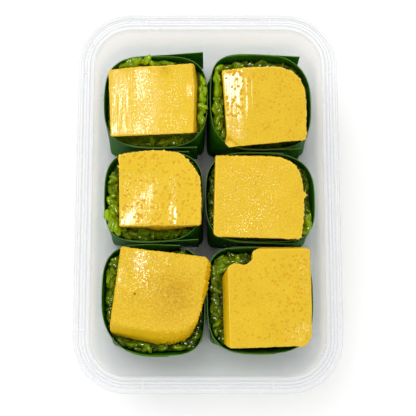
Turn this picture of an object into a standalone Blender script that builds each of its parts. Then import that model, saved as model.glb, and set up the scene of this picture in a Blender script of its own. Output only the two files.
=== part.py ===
# Sticky rice with custard: a clear plastic box with six folded leaf cups.
# Each cup holds glossy green rice with a cut slab of yellow custard on top.
# Metres, +Z up. X runs across the box, Y along it, and the box stands on Z = 0.

import math
import random

import bmesh
import bpy
from mathutils import Vector

MM = 0.001

# Box: the outer size of its rim, its wall, and the slope and fillet down to the floor.
BOX_WIDTH = 120 * MM
BOX_LENGTH = 175 * MM
BOX_HEIGHT = 50 * MM
RIM_CORNER = 24.5 * MM
RIM_WIDTH = 7.4 * MM
WALL = 0.9 * MM
FLOOR = 0.9 * MM
WALL_DRAFT = 1.8 * MM
FLOOR_FILLET = 1.8 * MM
RIM_DEPTH = 2.2 * MM
SKIRT = 0.8 * MM
SKIRT_DEPTH = 4 * MM
CORNER_STEPS = 6

# Leaf cups: one strip of leaf stands round a square base and flares to a round lip.
LEAF = 0.5 * MM
GAP = 0.35 * MM
CUP_BASE = FLOOR + GAP
CUP_LIP = 31 * MM
LIP_WAVE = 0.4 * MM
END_DEPTH = 25 * MM
END_DROP = 0.3 * MM
CUP_SIDES = 32

# Filling.
RICE_BED = 25.6 * MM
RICE_RINGS = ((0.985, 22.0 * MM), (0.9, 23.0 * MM), (0.84, 24.2 * MM), (0.7, RICE_BED))
RICE_ROUGHNESS = 1.2 * MM
SLAB_BOTTOM = 26 * MM
SLAB_HELD = CUP_LIP + LIP_WAVE + GAP
SLAB_FREE = SLAB_HELD + 0.4 * MM
SLAB_EDGE = 0.6 * MM
SLAB_CROWN_INSET = 11 * MM
LEAF_CLEARANCE = 0.8 * MM
GRAIN_LENGTH = 6.4 * MM
GRAIN_WIDTH = 2.3 * MM
GRAIN_WAIST = 0.2
GRAIN_SIDES = 5
GRAIN_PROUD = 0.7 * MM
GRAINS = 20
GRAIN_TRIES = 6000

# Each cup: its lip (centre, half size, and how square the corners are, from front right
# round to back right), its base (left, right, front, back) and how square that is, the free
# ends of its strip (start, end) and its slab (corners, top, lean of the sides towards the
# bottom, and how far the middle of the top stands out). A corner is x, y and radius, then
# the lean there where it isn't the slab's. All in millimetres.
CUPS = {
    "back_left": {
        "lip": {"centre": (-24.9, 50.8), "half": (25.1, 23.1), "corners": (2.9, 3.1, 3.3, 3.6)},
        "base": (-49.3, -1.7, 31.0, 72.0), "base_corners": (18, 18, 9, 12),
        "ends": (((-26, 73.7), (-2.4, 75.6)), ((-24, 27.9), (-5.3, 28.4))),
        "slab": {
            "corners": (
                (-45.6, 31.3, 0.5), (-6.8, 33.1, 0.5), (-6.3, 55.8, 6), (-7.6, 67.2, 0.5),
                (-19.9, 66.1, 3), (-33.5, 65.5, 3), (-47.3, 63.9, 0.5),
            ),
            "top": 40.0, "lean": (1.8, 3.8), "crown": 0.2,
        },
    },
    "back_right": {
        "lip": {"centre": (25.4, 50.9), "half": (24.4, 24.1), "corners": (3.8, 2.9, 4.6, 2.5)},
        "base": (-0.7, 48.6, 30.6, 72.2), "base_corners": (18, 18, 12, 9),
        "ends": (((20, 74.8), (44.4, 73.4)), ((26, 27.1), (44.6, 27.7))),
        "slab": {
            "corners": (
                (8.9, 32.0, 1), (7.6, 25.7, 1.6), (13.2, 26.6, 2), (46.2, 29.8, 0.8),
                (46.4, 66.4, 17), (17.0, 64.8, 4), (6.7, 63.4, 0.5),
            ),
            "top": 40.0, "lean": (0.0, 4.0), "crown": 0.2,
        },
    },
    "middle_left": {
        "lip": {"centre": (-25.4, 4.5), "half": (23.6, 22.1), "corners": (2.8, 3.6, 3.6, 3.6)},
        "base": (-47.6, -2.0, -14.8, 24.0), "base_corners": (18, 18, 12, 12),
        "ends": (((-22, 26.4), (-9.0, 26.2)), ((-26, -17.4), (-4.6, -16.0))),
        "slab": {
            "corners": (
                (-40.9, -11.3, 0.5, -0.4, 1.7), (-28.6, -11.2, 1, -0.4, 1.4),
                (-24.5, -11.1, 2, -0.4, 0.1), (-14.0, -10.9, 3, -0.4, 0.7),
                (-3.3, -10.8, 0.8, -0.4, 1.8), (-3.0, 2.0, 8), (-3.8, 12.6, 5),
                (-8.2, 19.2, 6), (-13.4, 23.9, 4), (-25.0, 25.0, 8), (-36.7, 23.7, 4),
                (-41.6, 22.5, 0.5),
            ),
            "top": 40.0, "lean": (-0.4, 0.0), "crown": 0.3,
        },
    },
    "middle_right": {
        "lip": {"centre": (24.8, 4.0), "half": (26.1, 21.9), "corners": (4.2, 3.2, 3.7, 2.9)},
        "base": (-0.3, 48.4, -15.8, 24.4), "base_corners": (18, 18, 12, 12),
        "ends": (((22, 25.7), (36.0, 25.2)), ((20, -17.7), (44.0, -18.3))),
        "slab": {
            "corners": (
                (2.6, -15.1, 0.6), (4.5, -16.2, 0.8), (43.0, -17.3, 0.8), (43.8, -10.5, 4),
                (44.6, -5.3, 3), (44.4, 1.2, 1), (45.9, 3.6, 0.4), (44.2, 5.4, 1),
                (43.9, 21.4, 15), (3.6, 22.0, 0.6),
            ),
            "top": 40.0, "lean": (-0.4, 3.6), "crown": 0.2,
        },
    },
    "front_left": {
        "lip": {"centre": (-25.2, -44.5), "half": (24.3, 26.1), "corners": (4.5, 2.3, 4.0, 3.6)},
        "base": (-46.8, -2.0, -64.2, -21.5), "base_corners": (12, 18, 12, 12),
        "ends": (((-22, -18.8), (-13.0, -19.0)),),
        "slab": {
            "corners": (
                (-44.4, -56.9, 0.8, -1.3, -3.5), (-24.0, -60.2, 4, 0.0, -4.6),
                (-4.0, -60.8, 15, -2.2, -4.5), (-1.9, -41.0, 4, 2.4, 0.0),
                (0.4, -25.9, 1.5, 2.3, -0.8), (-22.0, -23.1, 6), (-40.0, -20.9, 0.5),
            ),
            "top": 42.0, "lean": (2.6, -3.8), "crown": -1.0,
        },
    },
    "front_right": {
        "lip": {"centre": (24.3, -44.5), "half": (24.8, 25.1), "corners": (3.3, 3.3, 5.0, 3.6)},
        "base": (0.8, 48.4, -63.4, -22.0), "base_corners": (12, 18, 12, 12),
        "ends": (((22, -19.7), (34.0, -19.9)),),
        "slab": {
            "corners": (
                (9.9, -67.3, 0.6, -2.6, 2.2), (41.0, -66.2, 1), (43.9, -67.0, 2),
                (47.0, -62.0, 4), (47.3, -48.4, 8), (47.0, -21.8, 0.8),
                (22.8, -22.0, 1, 3.0, 3.6), (20.2, -23.0, 0.8, 0.0, 0.0),
                (20.7, -26.4, 2.1, 0.0, 0.0), (17.2, -29.4, 3, 0.0, 0.0),
                (12.2, -28.3, 1, 0.0, 0.0), (9.1, -29.9, 0.8, -2.5, -3.4), (9.4, -45.0, 8),
            ),
            "top": 40.0, "lean": (-2.5, 3.4), "crown": 0.2,
        },
    },
}

# Where the rice stands higher: the angle round the cup and half the width in degrees, then
# the height at the wall and a little way in. Where that is over the lip, grains spill out.
SPILL = (CUP_LIP - 1.2 * MM, CUP_LIP + 1.4 * MM)
HEAPS = {
    "back_left": ((103, 24, 27.6 * MM, 28.4 * MM), (0, 34, 27.8 * MM, 28.0 * MM)),
    "back_right": ((178, 34, 24.0 * MM, 26.5 * MM),),
    "middle_left": ((178, 24, 26.0 * MM, 27.5 * MM), (211, 13, *SPILL)),
    "middle_right": ((333, 9, *SPILL),),
    "front_left": ((170, 40, 24.0 * MM, 26.0 * MM), (270, 40, 24.5 * MM, 26.0 * MM)),
    "front_right": ((175, 34, 24.0 * MM, 25.5 * MM),),
}
SPILL_GRAINS = 5

# Colour, roughness and metallic value of each material.
FINISHES = {
    "clear_plastic": ((0.84, 0.85, 0.85, 1.0), 0.25, 0.0),
    "leaf": ((0.022, 0.085, 0.006, 1.0), 0.42, 0.0),
    "green_rice": ((0.15, 0.26, 0.006, 1.0), 0.22, 0.0),
    "custard": ((0.86, 0.55, 0.04, 1.0), 0.35, 0.0),
}


def clear_scene():
    for thing in list(bpy.data.objects):
        bpy.data.objects.remove(thing, do_unlink=True)


def make_material(name):
    colour, roughness, metallic = FINISHES[name]
    material = bpy.data.materials.new(name)
    material.use_nodes = True
    shader = material.node_tree.nodes["Principled BSDF"]
    shader.inputs["Base Color"].default_value = colour
    shader.inputs["Roughness"].default_value = roughness
    shader.inputs["Metallic"].default_value = metallic
    return material


def add_object(name, shape, material, smooth_angle=40):
    bmesh.ops.recalc_face_normals(shape, faces=shape.faces[:])
    mesh = bpy.data.meshes.new(name)
    shape.to_mesh(mesh)
    shape.free()
    mesh.shade_smooth()
    mesh.set_sharp_from_angle(angle=math.radians(smooth_angle))
    thing = bpy.data.objects.new(name, mesh)
    thing.data.materials.append(material)
    bpy.context.scene.collection.objects.link(thing)
    return thing


def skin(loops, turned_from=None):
    """Closed body through loops of equal length, with a face over each end.

    From the band turned_from on, the triangles lean the other way, so that the two faces of
    a folded-over wall are split alike.
    """
    shape = bmesh.new()
    rings = [[shape.verts.new(point) for point in loop] for loop in loops]
    count = len(loops[0])
    for band, (low, high) in enumerate(zip(rings, rings[1:])):
        turned = turned_from is not None and band >= turned_from
        for i in range(count):
            j = (i + 1) % count
            if turned:
                shape.faces.new((low[i], low[j], high[i]))
                shape.faces.new((low[j], high[j], high[i]))
            else:
                shape.faces.new((low[i], low[j], high[j]))
                shape.faces.new((low[i], high[j], high[i]))
    shape.faces.new(rings[0][::-1])
    shape.faces.new(rings[-1])
    return shape


# --- Box ---------------------------------------------------------------------


def rounded_rectangle(inset, height):
    half_x = BOX_WIDTH / 2 - inset
    half_y = BOX_LENGTH / 2 - inset
    radius = RIM_CORNER - inset
    points = []
    for corner in range(4):
        centre_x = (half_x - radius) * (1 if corner in (0, 3) else -1)
        centre_y = (half_y - radius) * (1 if corner in (0, 1) else -1)
        for step in range(CORNER_STEPS + 1):
            angle = math.pi / 2 * (corner + step / CORNER_STEPS)
            x = centre_x + radius * math.cos(angle)
            y = centre_y + radius * math.sin(angle)
            points.append(Vector((x, y, height)))
    return points


def box_profile():
    """Inset from the rim's outer edge and height, from under the floor round to its top."""
    foot = RIM_WIDTH + WALL_DRAFT
    under_rim = BOX_HEIGHT - RIM_DEPTH
    skirt_foot = BOX_HEIGHT - SKIRT_DEPTH
    bend = 0.3 * FLOOR_FILLET
    outside = [
        (foot + FLOOR_FILLET, 0),
        (foot - WALL + bend, bend),
        (foot - WALL, FLOOR_FILLET),
        (RIM_WIDTH - WALL, under_rim),
        (SKIRT, under_rim),
        (SKIRT, skirt_foot),
        (0, skirt_foot),
    ]
    rim = [(0, -1.0), (0.7, 0), (1.9, -0.1), (2.8, -1.1), (3.7, -1.1), (4.3, -0.4), (4.9, -0.4)]
    rim += [(5.5, -0.9), (6.2, -0.2), (6.9, -0.2), (7.4, -0.8)]
    top = [(inset * MM, BOX_HEIGHT + drop * MM) for inset, drop in rim]
    inside = [
        (foot, FLOOR + FLOOR_FILLET),
        (foot + bend, FLOOR + bend),
        (foot + FLOOR_FILLET, FLOOR),
    ]
    return outside + top + inside


def make_box(material):
    loops = [rounded_rectangle(inset, height) for inset, height in box_profile()]
    return add_object("container", skin(loops), material)


# --- Leaf cups ---------------------------------------------------------------


def squircle(centre, half, exponents, angle):
    """Point on a rounded rectangle whose four corners have their own squareness."""
    cosine = math.cos(angle)
    sine = math.sin(angle)
    quadrant = (1 if cosine < 0 else 0) if sine < 0 else (2 if cosine < 0 else 3)
    power = 2 / exponents[quadrant]
    x = centre[0] + half[0] * math.copysign(abs(cosine) ** power, cosine)
    y = centre[1] + half[1] * math.copysign(abs(sine) ** power, sine)
    return x, y


def cup_point(cup, angle, height, inset=0.0):
    """Point on the cup's wall, set in from its outer face; the wall is straight in section."""
    left, right, front, back = (value * MM for value in cup["base"])
    base_centre = ((left + right) / 2, (front + back) / 2)
    base_half = ((right - left) / 2 - inset, (back - front) / 2 - inset)
    lip_centre = [value * MM for value in cup["lip"]["centre"]]
    lip_half = [value * MM - inset for value in cup["lip"]["half"]]
    low = squircle(base_centre, base_half, cup["base_corners"], angle)
    high = squircle(lip_centre, lip_half, cup["lip"]["corners"], angle)
    rise = (height - CUP_BASE) / (CUP_LIP - CUP_BASE)
    x = low[0] + (high[0] - low[0]) * rise
    y = low[1] + (high[1] - low[1]) * rise
    return Vector((x, y, height))


def cup_loop(cup, height, inset):
    """Loop of the cup's wall; height is a number or a function of the angle."""
    angles = [2 * math.pi * i / CUP_SIDES for i in range(CUP_SIDES)]
    loop = []
    for angle in angles:
        level = height(angle) if callable(height) else height
        loop.append(cup_point(cup, angle, level, inset))
    return loop


def lip_height(phase):
    return lambda angle: CUP_LIP + LIP_WAVE * math.sin(2 * angle + phase)


def wall_lean(cup, start):
    """How far the wall moves along Y from the lip to the foot of a free end, where it starts."""
    front, back = cup["base"][2:]
    middle = cup["lip"]["centre"][1]
    half = cup["lip"]["half"][1]
    move = back - (middle + half) if start[1] > middle else front - (middle - half)
    return move * MM * END_DEPTH / (CUP_LIP - CUP_BASE)


def plate(start, end, lean):
    """Strip of leaf that leans with the wall where it starts and stands upright at its end."""
    (x0, y0), (x1, y1) = start, end
    low = CUP_LIP - END_DEPTH
    high = CUP_LIP - END_DROP
    middle = ((x0, y0 + lean, low), (x1, y1, low), (x1, y1, high), (x0, y0, high))
    along = Vector((x1 - x0, y1 - y0, 0)).normalized()
    across = Vector((-along.y, along.x, 0)) * LEAF / 2
    shape = bmesh.new()
    front = [shape.verts.new(Vector(point) + across) for point in middle]
    back = [shape.verts.new(Vector(point) - across) for point in middle]
    for face in (front, back):
        shape.faces.new((face[0], face[1], face[2]))
        shape.faces.new((face[0], face[2], face[3]))
    for i in range(4):
        j = (i + 1) % 4
        shape.faces.new((front[i], front[j], back[j], back[i]))
    return shape


def fuse(base, others):
    """Unites base with the other objects, which are removed, and keeps the largest body."""
    extras = bpy.data.collections.new("extras")
    bpy.context.scene.collection.children.link(extras)
    for thing in others:
        bpy.context.scene.collection.objects.unlink(thing)
        extras.objects.link(thing)
    union = base.modifiers.new("union", "BOOLEAN")
    union.operation = "UNION"
    union.solver = "EXACT"
    union.operand_type = "COLLECTION"
    union.collection = extras
    joined = bmesh.new()
    joined.from_object(base, bpy.context.evaluated_depsgraph_get())
    base.modifiers.remove(union)
    for thing in others:
        bpy.data.objects.remove(thing, do_unlink=True)
    bpy.data.collections.remove(extras)
    keep_largest(joined)
    bmesh.ops.triangulate(joined, faces=joined.faces[:])
    joined.to_mesh(base.data)
    joined.free()


def keep_largest(shape):
    """Drops every island of faces but the largest: loose scraps and sealed hollows."""
    waiting = set(shape.faces)
    islands = []
    while waiting:
        island = []
        edge_of_island = [waiting.pop()]
        while edge_of_island:
            face = edge_of_island.pop()
            island.append(face)
            for edge in face.edges:
                for other in edge.link_faces:
                    if other in waiting:
                        waiting.remove(other)
                        edge_of_island.append(other)
        islands.append(island)
    islands.sort(key=len)
    for island in islands[:-1]:
        bmesh.ops.delete(shape, geom=island, context="FACES")


def make_leaf_cup(place, cup, phase, material):
    lip = lip_height(phase)
    loops = [
        cup_loop(cup, CUP_BASE, 0),
        cup_loop(cup, lip, 0),
        cup_loop(cup, lip, LEAF),
        cup_loop(cup, CUP_BASE + LEAF, LEAF),
    ]
    wall = add_object("leaf_cup_" + place, skin(loops, turned_from=2), material)
    ends = []
    for number, (start, end) in enumerate(cup["ends"]):
        lean = wall_lean(cup, start)
        start = (start[0] * MM, start[1] * MM)
        end = (end[0] * MM, end[1] * MM)
        ends.append(add_object("end_%d" % number, plate(start, end, lean), material))
    fuse(wall, ends)
    return wall


# --- Custard -----------------------------------------------------------------


def slab_outline(slab):
    """Outline of the top, with each corner rounded by a few points, and the lean at each."""
    corners = slab["corners"]
    points = []
    leans = []
    count = len(corners)
    for i, (x, y, radius, *own_lean) in enumerate(corners):
        corner = Vector((x, y))
        before = (Vector(corners[i - 1][:2]) - corner).normalized()
        after = (Vector(corners[(i + 1) % count][:2]) - corner).normalized()
        opening = before.angle(after)
        reach = radius / math.tan(opening / 2)
        steps = max(1, round(math.degrees(math.pi - opening) / 18)) if radius > 2 else 1
        for step in range(steps + 1):
            part = step / steps
            blend = (1 - part) ** 2 * before + part**2 * after
            points.append((corner + blend * reach) * MM)
            leans.append(Vector(own_lean or slab["lean"]) * MM)
    return points, leans


def held_inside(cup, point, height):
    """Moves a point inwards until it is clear of the cup's wall at that height."""
    ring = cup_loop(cup, height, LEAF + LEAF_CLEARANCE)
    middle = sum(ring, Vector()) / len(ring)
    arm = Vector((point[0] - middle.x, point[1] - middle.y))
    reach = ray_reach(ring, middle, arm)
    factor = min(1.0, reach)
    return Vector((middle.x + arm.x * factor, middle.y + arm.y * factor, height))


def ray_reach(ring, middle, arm):
    """How many times arm fits between the ring's middle and the ring, along arm."""
    best = 1e9
    for first, second in zip(ring, ring[1:] + ring[:1]):
        ax, ay = first.x - middle.x, first.y - middle.y
        bx, by = second.x - first.x, second.y - first.y
        cross = arm.x * by - arm.y * bx
        if abs(cross) < 1e-12:
            continue
        along_ray = (ax * by - ay * bx) / cross
        along_side = (ax * arm.y - ay * arm.x) / cross
        if along_ray > 0 and -1e-6 <= along_side <= 1 + 1e-6:
            best = min(best, along_ray)
    return best


def drawn_in(outline, margin, height):
    """Outline drawn in by margin towards its middle, at a height."""
    middle = sum(outline, Vector((0, 0))) / len(outline)
    points = []
    for point in outline:
        arm = point - middle
        factor = 1 - margin / arm.length
        points.append(Vector((*(middle + arm * factor), height)))
    return points


def slab_loops(cup):
    slab = cup["slab"]
    outline, leans = slab_outline(slab)
    top = slab["top"] * MM
    part = (top - SLAB_FREE) / (top - SLAB_BOTTOM)
    foot = [point + lean for point, lean in zip(outline, leans)]
    side = [point + lean * part for point, lean in zip(outline, leans)]
    bottom = [held_inside(cup, point, SLAB_BOTTOM) for point in foot]
    held = [held_inside(cup, point, SLAB_HELD) for point in side]
    free = [Vector((*point, SLAB_FREE)) for point in side]
    edge = [Vector((*point, top - SLAB_EDGE)) for point in outline]
    rim = drawn_in(outline, SLAB_EDGE, top)
    crown = drawn_in(outline, SLAB_CROWN_INSET, top + slab["crown"] * MM)
    return [bottom, held, free, edge, rim, crown]


def make_slab(place, cup, material):
    return add_object("custard_" + place, skin(slab_loops(cup)), material)


# --- Rice --------------------------------------------------------------------


def heap_share(heap, angle):
    """One in the middle of a heap, falling to nought past its ends."""
    middle, half_width = heap[:2]
    away = (math.degrees(angle) - middle + 180) % 360 - 180
    return math.exp(-((away / half_width) ** 4))


def rice_level(place, angle, number):
    """Height of ring number of the core's top at an angle, with the heaps on it."""
    level = RICE_RINGS[number][1]
    if number > 1:
        return level
    for heap in HEAPS[place]:
        level += max(0.0, heap[2 + number] - level) * heap_share(heap, angle)
    return level


def rice_surface(place, cup, rng):
    """Loops of the core's top, from the wall in to the bed that the slab lies on."""
    loops = []
    for number, (scale, bare) in enumerate(RICE_RINGS):
        loop = []
        for i in range(CUP_SIDES):
            angle = 2 * math.pi * i / CUP_SIDES
            height = rice_level(place, angle, number)
            if bare < RICE_BED:
                height += (rng.random() - 0.5) * RICE_ROUGHNESS
            loop.append(core_point(cup, angle, scale, height))
        loops.append(loop)
    return loops


def core_point(cup, angle, scale, height):
    """Point of the core at a share of the way from its middle to the wall."""
    wall = cup_point(cup, angle, height, LEAF + GAP)
    middle = Vector((*cup["lip"]["centre"], 0)) * MM
    return Vector((*(middle + (wall - middle) * scale).xy, height))


def surface_height(place, angle, scale):
    """Height of the core's top at an angle and a share of the way out to the wall."""
    for number in range(len(RICE_RINGS) - 1):
        outer, inner = RICE_RINGS[number][0], RICE_RINGS[number + 1][0]
        if scale >= inner:
            part = (scale - inner) / (outer - inner)
            high = rice_level(place, angle, number + 1)
            return high + (rice_level(place, angle, number) - high) * part
    return RICE_BED


def grain_shape(centre, direction, length, width):
    """Closed grain with few sides: two pointed ends and two rings between them."""
    direction = direction.normalized()
    side = direction.orthogonal().normalized()
    other = direction.cross(side)
    shape = bmesh.new()
    tips = [shape.verts.new(centre + direction * length / 2 * sign) for sign in (-1, 1)]
    rings = []
    for offset in (-GRAIN_WAIST, GRAIN_WAIST):
        ring = []
        for i in range(GRAIN_SIDES):
            angle = 2 * math.pi * i / GRAIN_SIDES
            outwards = side * math.cos(angle) + other * math.sin(angle)
            point = centre + direction * length * offset + outwards * width / 2
            ring.append(shape.verts.new(point))
        rings.append(ring)
    for i in range(GRAIN_SIDES):
        j = (i + 1) % GRAIN_SIDES
        shape.faces.new((tips[0], rings[0][j], rings[0][i]))
        shape.faces.new((rings[0][i], rings[0][j], rings[1][j], rings[1][i]))
        shape.faces.new((tips[1], rings[1][i], rings[1][j]))
    return shape


def inside_outline(point, outline):
    inside = False
    for first, second in zip(outline, outline[1:] + outline[:1]):
        if (first.y > point.y) != (second.y > point.y):
            cut = first.x + (point.y - first.y) / (second.y - first.y) * (second.x - first.x)
            if point.x < cut:
                inside = not inside
    return inside


def distance_to_outline(point, outline):
    best = 1e9
    for first, second in zip(outline, outline[1:] + outline[:1]):
        start = Vector((first.x, first.y))
        side = Vector((second.x, second.y)) - start
        arm = Vector((point.x, point.y)) - start
        part = max(0.0, min(1.0, arm.dot(side) / max(side.length_squared, 1e-12)))
        best = min(best, (arm - side * part).length)
    return best


def grain_fits(cup, slab_rings, grain):
    """A grain fits when its tips and its thick middle keep clear of the slab and the wall."""
    centre, direction, length = grain
    wall = cup_loop(cup, min(centre.z, CUP_LIP), LEAF)
    rings = [(ring, False) for ring in slab_rings]
    if centre.z < CUP_LIP + LIP_WAVE + GAP + GRAIN_WIDTH / 2:
        rings.append((wall, True))
    for share, width in ((-0.5, 0), (-GRAIN_WAIST, 1), (GRAIN_WAIST, 1), (0.5, 0)):
        point = centre + direction * length * share
        margin = GAP + width * GRAIN_WIDTH / 2
        for ring, wanted in rings:
            if inside_outline(point, ring) != wanted:
                return False
            if distance_to_outline(point, ring) < margin:
                return False
    return True


def draw_place(place, cup, rng, spilt):
    """Middle and direction of a grain: on the core's top, or over the lip where it spills."""
    angle = rng.random() * 2 * math.pi
    scale = 0.66 + 0.32 * rng.random()
    tilt = (rng.random() - 0.5) * 0.5
    height = surface_height(place, angle, scale) + GRAIN_PROUD
    if spilt:
        middle, half_width = HEAPS[place][-1][:2]
        angle = math.radians(middle + half_width * (rng.random() - 0.5) * 1.6)
        scale = 0.88 + 0.1 * rng.random()
        tilt = 0.0
        height = SPILL[1] + GRAIN_WIDTH * (0.25 + 0.25 * rng.random())
    turn = angle + math.pi / 2 + (rng.random() - 0.5) * 1.8
    centre = core_point(cup, angle, scale, height)
    return centre, Vector((math.cos(turn), math.sin(turn), tilt)).normalized()


def place_grains(place, cup, rng, material):
    """Draws grains over the part of the core that shows round the slab."""
    slab_rings = slab_loops(cup)[:2]
    spills = HEAPS[place][-1][3] > CUP_LIP
    grains = []
    taken = []
    for attempt in range(GRAIN_TRIES):
        if len(grains) == GRAINS:
            break
        spilt = spills and attempt < GRAIN_TRIES // 4 and len(grains) < SPILL_GRAINS
        centre, direction = draw_place(place, cup, rng, spilt)
        length = GRAIN_LENGTH * (0.85 + 0.25 * rng.random())
        if any((centre - other).length < GRAIN_WIDTH for other in taken):
            continue
        if not grain_fits(cup, slab_rings, (centre, direction, length)):
            continue
        taken.append(centre)
        shape = grain_shape(centre, direction, length, GRAIN_WIDTH)
        grains.append(add_object("grain_%d" % len(grains), shape, material))
    return grains


def make_rice(place, cup, seed, material):
    rng = random.Random(seed)
    foot = cup_loop(cup, CUP_BASE + LEAF + GAP, LEAF + GAP)
    core = add_object("rice_" + place, skin([foot] + rice_surface(place, cup, rng)), material)
    grains = place_grains(place, cup, rng, material)
    fuse(core, grains)
    return core


def main():
    clear_scene()
    materials = {name: make_material(name) for name in FINISHES}
    make_box(materials["clear_plastic"])
    for number, (place, cup) in enumerate(CUPS.items()):
        make_leaf_cup(place, cup, number * 1.3, materials["leaf"])
        make_rice(place, cup, 11 + number, materials["green_rice"])
        make_slab(place, cup, materials["custard"])


main()
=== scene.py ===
import math
import random

import bmesh
import bpy
import numpy as np
from mathutils import Matrix, Vector, noise
from mathutils.bvhtree import BVHTree


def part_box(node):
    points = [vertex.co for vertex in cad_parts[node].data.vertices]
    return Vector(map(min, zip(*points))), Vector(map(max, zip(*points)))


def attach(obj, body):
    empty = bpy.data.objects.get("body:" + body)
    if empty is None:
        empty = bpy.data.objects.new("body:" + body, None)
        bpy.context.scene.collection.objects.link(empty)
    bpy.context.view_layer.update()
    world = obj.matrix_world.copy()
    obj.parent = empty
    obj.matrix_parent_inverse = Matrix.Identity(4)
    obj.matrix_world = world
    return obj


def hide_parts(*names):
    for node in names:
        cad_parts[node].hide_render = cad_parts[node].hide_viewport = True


# Sticky rice with custard: six leaf cups of green rice, each with a slab of custard, in a
# clear plastic box. Metres, in the frame's own place.

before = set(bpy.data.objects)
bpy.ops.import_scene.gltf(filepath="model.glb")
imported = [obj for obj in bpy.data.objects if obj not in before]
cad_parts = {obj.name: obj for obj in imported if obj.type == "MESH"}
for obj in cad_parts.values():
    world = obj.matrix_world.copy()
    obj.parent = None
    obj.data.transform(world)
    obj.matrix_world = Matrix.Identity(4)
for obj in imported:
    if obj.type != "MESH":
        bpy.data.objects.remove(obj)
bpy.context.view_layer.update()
mm = 0.001

# The six cups, from the back row to the front one.
cupPlaces = ("back_left", "back_right", "middle_left", "middle_right", "front_left", "front_right")


# Hand tools: picking, editing and finishing a piece

def pick(*pieces):
    if bpy.context.object and bpy.context.object.mode != "OBJECT":
        bpy.ops.object.mode_set(mode="OBJECT")
    bpy.ops.object.select_all(action="DESELECT")
    for piece in pieces:
        piece.select_set(True)
    if pieces:
        bpy.context.view_layer.objects.active = pieces[-1]


def applyModifier(piece, kind, **settings):
    pick(piece)
    bpy.ops.object.modifier_add(type=kind)
    modifier = piece.modifiers[-1]
    for name, value in settings.items():
        setattr(modifier, name, value)
    bpy.ops.object.modifier_apply(modifier=modifier.name)


def selectParts(piece, kind, wanted):
    # selects the edges or faces of the piece that wanted says yes to, in edit mode
    bpy.ops.object.mode_set(mode="EDIT")
    bpy.ops.mesh.select_mode(type=kind)
    bpy.ops.mesh.select_all(action="DESELECT")
    shape = bmesh.from_edit_mesh(piece.data)
    shape.normal_update()
    for part in shape.edges if kind == "EDGE" else shape.faces:
        if wanted(part):
            part.select_set(True)
    shape.select_flush_mode()
    bmesh.update_edit_mesh(piece.data)


def placeInMesh(piece):
    pick(piece)
    bpy.ops.object.transform_apply(location=True, rotation=True, scale=True)


def copyOfNode(node, name):
    # the CAD node's shape as a new piece, with its loose triangles merged
    piece = bpy.data.objects.new(name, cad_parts[node].data.copy())
    piece.data.materials.clear()
    bpy.context.scene.collection.objects.link(piece)
    pick(piece)
    bpy.ops.object.mode_set(mode="EDIT")
    bpy.ops.mesh.select_all(action="SELECT")
    bpy.ops.mesh.remove_doubles(threshold=0.01 * mm)
    bpy.ops.mesh.normals_make_consistent(inside=False)
    bpy.ops.object.mode_set(mode="OBJECT")
    return piece


def finishPiece(piece, name, nodes, material, smoothAngle=180):
    piece.name = name
    piece.data.name = name
    piece.data.materials.clear()
    piece.data.materials.append(material)
    placeInMesh(piece)
    bpy.ops.object.shade_smooth_by_angle(angle=math.radians(smoothAngle))
    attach(piece, "root")
    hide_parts(*nodes)
    return piece


# Measuring and moving points

def nodeTree(*nodes):
    corners, faces = [], []
    for node in nodes:
        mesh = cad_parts[node].data
        faces += [[index + len(corners) for index in face.vertices] for face in mesh.polygons]
        corners += [vertex.co.copy() for vertex in mesh.vertices]
    return BVHTree.FromPolygons(corners, faces)


def readPoints(mesh, kind="co"):
    flat = np.empty(len(mesh.vertices) * 3)
    mesh.vertices.foreach_get(kind, flat)
    return flat.reshape(-1, 3)


def writePoints(mesh, points):
    mesh.vertices.foreach_set("co", points.ravel())
    mesh.update()


def writeAttribute(mesh, name, values):
    attribute = mesh.attributes.new(name, "FLOAT", "POINT")
    attribute.data.foreach_set("value", np.clip(values, 0, 1).astype(np.float32))


def ease(values, low, high):
    part = np.clip((values - low) / (high - low), 0, 1)
    return part * part * (3 - 2 * part)


def unevenness(points, size, seed=0):
    # smooth noise from -1 to 1 with lumps of about that size
    spots = np.asarray(points) / size + seed * 7.31
    return np.array([noise.noise(Vector(spot)) for spot in spots])


# Shader maths: a wire is one socket's value, and sums of wires add their own Math nodes

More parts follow.
